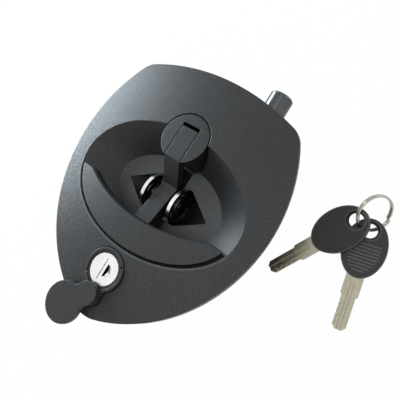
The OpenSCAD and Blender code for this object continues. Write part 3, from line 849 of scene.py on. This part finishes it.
@dataclass
class CylinderLock:
    """Collar, barrel, plug and swing cover."""

    finishes: Finishes
    face_z: float = 10.2
    dish_d: float = 1.4
    dish_slope: float = 0.3
    axis_y: float = -55.5
    barrel_r: float = 11.5
    thread_low: float = -20.0
    thread_pitch: float = 2.0
    thread_turns: int = 6
    thread_d: float = 0.9
    face_skin: float = 0.1
    level_skin: float = 0.01
    slit_shown: float = 6.0
    inner_r: float = 9.0

    def in_dish(self, face: bpy.types.MeshPolygon) -> bool:
        """Says whether a face slopes in the half dish beside the key slit."""
        depth = self.face_z - face.center.z / MM
        return self.face_skin < depth < self.dish_d and face.normal.z > self.dish_slope

    def in_slit(self, face: bpy.types.MeshPolygon) -> bool:
        """Says whether a face lies in the key slit or in the straight groove."""
        depth = self.face_z - face.center.z / MM
        return self.face_skin < depth < self.slit_shown and not self.in_dish(face) and self.is_inner(face)

    def is_inner(self, face: bpy.types.MeshPolygon) -> bool:
        """Says whether a face lies well inside the plug's outline."""
        return math.hypot(face.center.x / MM, face.center.y / MM - self.axis_y) < self.inner_r

    def build(self) -> None:
        """Builds and dresses the lock's pieces."""
        f = self.finishes
        Skin("lock_collar", "lock_surround", Body.CASE, Slot.BLACK, width=0.3).build(f.charcoal)
        barrel = Skin("lock_barrel", "barrel_shell", Body.CASE, Slot.BLACK, width=0.2).build(f.black)
        self.cut_thread(barrel)
        Skin("barrel_nut", "barrel_lock_nut", Body.CASE, Slot.STEEL, width=0.4).build(f.plated)
        plug = Skin("key_plug", "key_face", Body.PLUG, Slot.NICKEL, width=0.12).build(f.face)
        # The half dish, the slit and the groove get darker metal: painted shade.
        Bench.two_tone(plug, f.recess_shade, self.in_dish)
        Bench.two_tone(plug, f.dull, self.in_slit)
        Skin("lock_cam", "locking_tongue", Body.PLUG, Slot.STEEL, width=0.2).build(f.plated)
        Skin("cam_screw", "tongue_screw", Body.PLUG, Slot.STEEL, width=0.2).build(f.plated)
        Skin("swing_cover", "dust_cover", Body.COVER, Slot.CHARCOAL, width=0.9).build(f.charcoal)
        Skin("cover_rivet", "cover_pivot", Body.CASE, Slot.STEEL, width=0.3).build(f.plated)

    def cut_thread(self, barrel: bpy.types.Object) -> None:
        """Cuts the grooves of the thread behind the nut.

        Args:
            barrel: The barrel.
        """
        levels = [self.thread_low + i * self.thread_pitch / 2 for i in range(2 * self.thread_turns + 1)]
        for level in levels:
            Bench.pick_faces(barrel, lambda face: True)
            bpy.ops.mesh.bisect(plane_co=(0, 0, level * MM), plane_no=(0, 0, 1))
            Bench.done()
        roots = levels[1::2]
        Bench.pick_edges(barrel, lambda a, b: any(self.on_root(a, z) and self.on_root(b, z) for z in roots))
        shrink = 1 - self.thread_d / self.barrel_r
        bpy.ops.transform.resize(value=(shrink, shrink, 1), center_override=(0, self.axis_y * MM, 0))
        Bench.done()
        Bench.smooth(barrel)

    def on_root(self, at: Vector, level: float) -> bool:
        """Says whether a point lies on the barrel's outer side at one level."""
        reach = math.hypot(at.x, at.y - self.axis_y)
        return abs(at.z - level) < self.level_skin and reach > self.barrel_r - self.face_skin


@dataclass
class BoltTrain:
    """Bolt with its bush, draw bar and spring, and the lever that draws it."""

    finishes: Finishes
    spring_fixed: float = -6.0
    spring_free: float = 34.0
    bolt_travel: float = 13.5

    def build(self) -> None:
        """Builds and dresses the bolt's pieces."""
        f = self.finishes
        Skin("latch_bolt", "round_bolt", Body.BOLT, Slot.POLISHED, width=0.5).build(f.bolt)
        Skin("bolt_bush", "bolt_guide", Body.CASE, Slot.BRASS, width=0.3).build(f.brass)
        Skin("draw_bar", "bolt_draw_bar", Body.BOLT, Slot.STEEL, width=0.3).build(f.plated)
        Skin("bar_screw", "draw_bar_screw", Body.BOLT, Slot.STEEL, width=0.2).build(f.plated)
        Skin("drive_pin", "fork_pin", Body.BOLT, Slot.STEEL, width=0.3).build(f.bright)
        Skin("transfer_lever", "bell_lever", Body.LEVER, Slot.STEEL, width=0.2).build(f.sheet)
        Skin("lever_stud", "lever_pivot_stud", Body.CASE, Slot.STEEL, width=0.3).build(f.plated)
        Skin("stud_clip", "stud_retainer", Body.CASE, Slot.STEEL, width=0.15).build(f.plated)
        spring = Skin("bolt_spring", "bolt_return_spring", Body.CASE, Slot.STEEL, width=0.0).build(f.wire)
        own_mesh(spring)


@dataclass
class BackCase:
    """Moulded case behind the plate and its steel cover with pressed beads."""

    finishes: Finishes
    sheet_z: float = -31.0
    bead_x: tuple[float, ...] = (-16.0, 8.0, 32.0)
    bead_start: float = -16.0
    bead_l: float = 50.0
    bead_r: float = 4.0
    bead_d: float = 1.2
    bead_sides: int = 32

    def build(self) -> None:
        """Builds and dresses the case's pieces."""
        f = self.finishes
        Skin("chassis", "back_case", Body.CASE, Slot.BLACK, width=0.4).build(f.black)
        sheet = Skin("rear_cover", "back_sheet", Body.CASE, Slot.STEEL, width=0.4).build(f.sheet)
        for x in self.bead_x:
            self.press_bead(sheet, x)
        Bench.smooth(sheet)
        Skin("case_screws", "back_sheet_screws", Body.CASE, Slot.STEEL, width=0.2).build(f.plated)

    def press_bead(self, sheet: bpy.types.Object, x: float) -> None:
        """Presses one stiffening bead with round ends into the outer side of the sheet.

        Args:
            sheet: The steel cover.
            x: Place of the bead across the sheet, in millimetres.
        """
        bpy.ops.object.select_all(action="DESELECT")
        bpy.ops.mesh.primitive_uv_sphere_add(segments=self.bead_sides, ring_count=self.bead_sides // 2,
                                             radius=self.bead_r * MM)
        bead = bpy.context.view_layer.objects.active
        Bench.pick_faces(bead, lambda face: face.center.y > 0)
        bpy.ops.transform.translate(value=(0, self.bead_l * MM, 0))
        Bench.done()
        low = self.sheet_z + self.bead_d - self.bead_r
        Bench.set_down(bead, Matrix.Translation(Vector((x, self.bead_start, low)) * MM))
        Bench.cut(sheet, bead)


@dataclass(frozen=True)
class KeyPose:
    """Where one key lies."""

    tip: Point
    turn: float
    tilt: float

    def matrix(self) -> Matrix:
        """Frame of the key: X from the tip to the head, Z up.

        Returns:
            The frame, in metres.
        """
        turn = Matrix.Rotation(math.radians(self.turn), 4, "Z")
        lean = Matrix.Rotation(math.radians(-self.tilt), 4, "Y")
        return Matrix.Translation(Vector(self.tip) * MM) @ (turn @ lean)


@dataclass
class Key:
    """Key with a parting groove round its head, sunk faces and, on one key, ribs across the head."""

    node: str
    name: str
    pose: KeyPose
    ribs: int
    track: list[tuple[float, float]]
    length: float = 64.0
    head_l: float = 34.0
    head_w: float = 24.0
    head_t: float = 4.0
    rim: float = 0.45
    sunk: float = 0.25
    # Depth of the band of raised tops that get the painted highlight.
    highlight_band: float = 0.12
    groove: float = 0.3
    first_rib: float = 34.2
    rib_pitch: float = 1.9
    rib_w: float = 0.9
    rib_margin: float = 3.2
    blade_w: float = 7.0
    blade_free: float = 4.0
    blade_top: float = 3.1
    mill_r: float = 1.5
    mill_depth: float = 0.7
    mill_l: float = 2.0
    mill_sides: int = 24
    blade_round: float = 0.15
    head_round: float = 0.2
    rib_round: float = 0.12
    rib_sink: float = 0.03
    rim_reach: float = 0.49
    level_skin: float = 0.01
    flat_face: float = 0.99
    face_band: float = 0.95

    def build(self, finishes: Finishes) -> None:
        """Builds and dresses the key.

        Args:
            finishes: The lock's finishes.
        """
        blade = Bench.copy_of(f"{self.node}_blade", f"{self.name}_blade")
        self.mill_track(blade)
        Bench.round_edges(blade, self.blade_round * MM)
        Bench.smooth(blade)
        Bench.dress(blade, Body.KEYS, finishes.key_steel, Slot.NICKEL, f"{self.node}_blade")
        head = Bench.copy_of(f"{self.node}_bow", f"{self.name}_head")
        self.cut_groove(head)
        self.sink_faces(head)
        Bench.round_edges(head, self.head_round * MM)
        Bench.join(head, self.build_ribs())
        Bench.smooth(head)
        # The ribbed key's head gets the paler copy of the black finish: painted light.
        finish = finishes.key_lit_head if self.ribs else finishes.key_black
        Bench.dress(head, Body.KEYS, finish, Slot.BLACK, f"{self.node}_bow")
        # The tops of the rim and the ribs get the paler rim finish: a painted highlight.
        Bench.two_tone(head, finishes.key_rim_highlight, self.is_raised)

    def is_raised(self, face: bpy.types.MeshPolygon) -> bool:
        """Says whether a face lies on top of the head's rim or of a rib."""
        height = (self.pose.matrix().inverted() @ face.center).z / MM
        return abs(height - self.head_t / 2) > self.head_t / 2 - self.highlight_band

    def mill_track(self, blade: bpy.types.Object) -> None:
        """Mills the wavy track into the edge of the blade's upper face.

        Args:
            blade: The blade.
        """
        cutters = []
        for along, across in self.track:
            bpy.ops.object.select_all(action="DESELECT")
            bpy.ops.mesh.primitive_cylinder_add(vertices=self.mill_sides, radius=self.mill_r * MM,
                                                depth=self.mill_l * MM)
            cutter = bpy.context.view_layer.objects.active
            lift = (self.blade_top - self.mill_depth + self.mill_l / 2) * MM
            Bench.set_down(cutter, self.pose.matrix() @ Matrix.Translation((along * MM, across * MM, lift)))
            cutters.append(cutter)
        for cutter in cutters:
            Bench.cut(blade, cutter)

    def cut_groove(self, head: bpy.types.Object) -> None:
        """Cuts the parting groove round the head at half its thickness.

        Args:
            head: The key's head.
        """
        place = self.pose.matrix()
        Bench.pick_faces(head, lambda face: True)
        bpy.ops.mesh.bisect(plane_co=place @ Vector((0, 0, self.head_t / 2 * MM)),
                            plane_no=place.to_3x3() @ Vector((0, 0, 1)))
        Bench.done()
        Bench.pick_edges(head, lambda a, b: self.on_rim(a) and self.on_rim(b))
        bpy.ops.mesh.bevel(offset=self.groove * MM, segments=1, affect="EDGES")
        bpy.ops.mesh.inset(thickness=self.groove / 4 * MM, depth=-self.groove * MM)
        Bench.done()

    def on_rim(self, at: Vector) -> bool:
        """Says whether a point lies on the head's outline at half its thickness.

        Args:
            at: The point, in millimetres.

        Returns:
            True for a point of the outline that is clear of the blade.
        """
        x, y, z = self.pose.matrix().inverted() @ (at * MM) / MM
        reach = math.hypot((x - self.length + self.head_l / 2) / self.head_l, y / self.head_w)
        at_blade = x < self.length - self.head_l + self.blade_free and abs(y) < self.blade_w
        return reach > self.rim_reach and abs(z - self.head_t / 2) < self.level_skin and not at_blade

    def sink_faces(self, head: bpy.types.Object) -> None:
        """Sinks both faces of the head inside a narrow rim.

        Args:
            head: The key's head.
        """
        up = self.pose.matrix().to_3x3() @ Vector((0, 0, 1))
        middle = (self.pose.matrix() @ Vector((0, 0, self.head_t / 2 * MM))).dot(up)
        reach = self.head_t / 2 * self.face_band * MM
        for side in (1, -1):
            Bench.pick_faces(head, lambda face: side * face.normal.dot(up) > self.flat_face
                             and side * (face.center.dot(up) - middle) > reach)
            bpy.ops.mesh.inset(thickness=self.rim * MM, depth=0.0)
            bpy.ops.mesh.inset(thickness=self.sunk / 2 * MM, depth=-self.sunk * MM)
            Bench.done()

    def build_ribs(self) -> list[bpy.types.Object]:
        """Builds the ribs across the head, longest in the middle.

        Returns:
            The ribs, each with its own mesh.
        """
        if not self.ribs:
            return []
        bpy.ops.object.select_all(action="DESELECT")
        bpy.ops.mesh.primitive_cube_add(size=MM)
        bpy.ops.object.mode_set(mode="EDIT")
        bpy.ops.mesh.select_all(action="SELECT")
        bpy.ops.transform.resize(value=(self.rib_w, 1.0, 2 * self.sunk))
        Bench.done()
        master = bpy.context.view_layer.objects.active
        Bench.round_edges(master, self.rib_round * MM)
        copies = []
        for i in range(self.ribs):
            along = self.first_rib + i * self.rib_pitch
            off = (along - self.length + self.head_l / 2) / (self.head_l / 2 - self.rib_margin)
            half = (self.head_w / 2 - self.rib_margin) * math.sqrt(1 - off ** 2)
            Bench.only(master)
            bpy.ops.object.duplicate()
            copy = bpy.context.view_layer.objects.active
            lift = (self.head_t - self.sunk - self.rib_sink) * MM
            Bench.set_down(copy, self.pose.matrix() @ Matrix.Translation((along * MM, 0, lift))
                           @ Matrix.Diagonal((1, 2 * half, 1, 1)))
            copies.append(copy)
        bpy.data.objects.remove(master)
        return copies


@dataclass
class KeySet:
    """Two keys on a split ring."""

    finishes: Finishes
    keys: list[Key] = field(default_factory=lambda: [
        Key("key_one", "first_key", KeyPose(tip=(74.4, -3.6, -31.8), turn=58.7, tilt=10.5), ribs=0,
            track=[(4.6, -3.9), (7.6, -3.4), (11.0, -4.0), (14.6, -3.5)]),
        Key("key_two", "second_key", KeyPose(tip=(123.4, -12.2, -31.8), turn=101.9, tilt=3.5), ribs=9,
            track=[(4.2, 4.0), (8.0, 3.5), (11.8, 3.9), (15.2, 3.2)]),
    ])

    def build(self) -> None:
        """Builds and dresses the keys and their ring."""
        for key in self.keys:
            key.build(self.finishes)
        Skin("split_ring", "key_ring", Body.KEYS, Slot.NICKEL, width=0.0).build(self.finishes.wire)


@dataclass(frozen=True)
class Lamp:
    """A square soft lamp that points at the lock."""

    name: str
    way: Point
    size: float
    power: float
    colour: Tone = (1.0, 1.0, 1.0)
    far: float = 0.9

    def build(self) -> None:
        """Adds the lamp, with its side in metres and its power in watts."""
        bpy.ops.object.select_all(action="DESELECT")
        bpy.ops.object.light_add(type="AREA", location=Vector(self.way) * self.far)
        lamp = bpy.context.view_layer.objects.active
        lamp.name = self.name
        lamp.data.shape = "SQUARE"
        lamp.data.size = self.size
        lamp.data.energy = self.power
        lamp.data.color = self.colour
        lamp.rotation_mode = "QUATERNION"
        lamp.rotation_quaternion = (-Vector(self.way)).to_track_quat("-Z", "Y")


@dataclass
class Studio:
    """Pale floor, soft light and the camera."""

    floor_z: float = -32.0
    eye: Point = (138.0, 7.0, 235.0)
    right: Point = (0.769, 0.523, -0.366)
    up: Point = (-0.468, 0.852, 0.232)
    focal_px: float = 445.0
    image_px: float = 400.0
    sensor: float = 36.0
    room_light: float = 0.28
    floor_glow: float = 0.98
    floor_size: float = 6.0
    floor_tone: Tone = (0.92, 0.92, 0.92)
    near_clip: float = 0.01
    lamps: list[Lamp] = field(default_factory=lambda: [
        Lamp("key_softbox", way=(-0.97, 0.11, 0.16), size=0.60, power=18.4, colour=(0.85, 0.98, 1.07)),
        Lamp("top_fill", way=(0.10, -0.15, 0.98), size=0.9, power=2.4),
        Lamp("side_fill", way=(0.55, 0.80, 0.15), size=0.7, power=4.0),
    ])

    def build(self) -> None:
        """Builds the floor, the lamps, the world and the camera."""
        self.build_floor()
        self.build_world()
        for lamp in self.lamps:
            lamp.build()
        self.build_camera()

    @staticmethod
    def seen_share(graph: Graph) -> Value:
        """Share of rays that show the backdrop as it is seen.

        Args:
            graph: The tree that reads the light path.

        Returns:
            One for camera, mirror and see-through rays, otherwise nought.
        """
        rays = [graph.node("ShaderNodeLightPath", {}, {}, name)
                for name in ("Is Camera Ray", "Is Glossy Ray", "Is Transmission Ray")]
        some = graph.maths("MAXIMUM", rays[0], rays[1])
        return graph.maths("MAXIMUM", some, rays[2])

    def build_floor(self) -> None:
        """Large pale floor that keeps a faint shadow and is clear from below."""
        bpy.ops.object.select_all(action="DESELECT")
        bpy.ops.mesh.primitive_plane_add(size=self.floor_size, location=(0, 0, self.floor_z * MM))
        floor = bpy.context.view_layer.objects.active
        floor.name = "studio_floor"
        graph = Graph.paint("pale_floor")
        matt = graph.node("ShaderNodeBsdfDiffuse", {}, {"Color": (*self.floor_tone, 1)})
        glow = graph.node("ShaderNodeEmission", {}, {"Color": (1, 1, 1, 1), "Strength": 1.0})
        shine = self.seen_share(graph) * self.floor_glow
        both = graph.node("ShaderNodeMixShader", {}, {0: shine, 1: matt, 2: glow})
        below = graph.node("ShaderNodeNewGeometry", {}, {}, "Backfacing")
        clear = graph.node("ShaderNodeBsdfTransparent", {}, {})
        one_way = graph.node("ShaderNodeMixShader", {}, {0: below, 1: both, 2: clear})
        graph.close(one_way, "ShaderNodeOutputMaterial")
        floor.data.materials.append(graph.owner)

    def build_world(self) -> None:
        """White surround as seen, a softer one as light."""
        world = bpy.data.worlds.new("studio_world")
        bpy.context.scene.world = world
        graph = Graph(world)
        strength = self.seen_share(graph) * (1.0 - self.room_light) + self.room_light
        sky = graph.node("ShaderNodeBackground", {}, {"Color": (1, 1, 1, 1), "Strength": strength})
        graph.close(sky, "ShaderNodeOutputWorld")

    def build_camera(self) -> None:
        """Camera at the photograph's place and lens."""
        right = Vector(self.right).normalized()
        back = right.cross(Vector(self.up)).normalized()
        up = back.cross(right)
        turn = Matrix((right, up, back)).transposed().to_4x4()
        data = bpy.data.cameras.new("photo_camera")
        data.sensor_width = self.sensor
        data.lens = self.focal_px / self.image_px * self.sensor
        data.clip_start = self.near_clip
        camera = bpy.data.objects.new("photo_camera", data)
        bpy.context.scene.collection.objects.link(camera)
        camera.matrix_world = Matrix.Translation(Vector(self.eye) * MM) @ turn
        bpy.context.scene.camera = camera


def main() -> None:
    """Builds the lock and its studio."""
    logging.basicConfig(level=logging.INFO, format="%(message)s")
    bpy.context.scene.view_settings.view_transform = "Standard"
    finishes = Finishes()
    for assembly in (FacePlate, PullHandle, CylinderLock, BoltTrain, BackCase, KeySet):
        log.info("building %s", assembly.__name__)
        assembly(finishes).build()
    Studio().build()


if __name__ == "__main__":
    main()
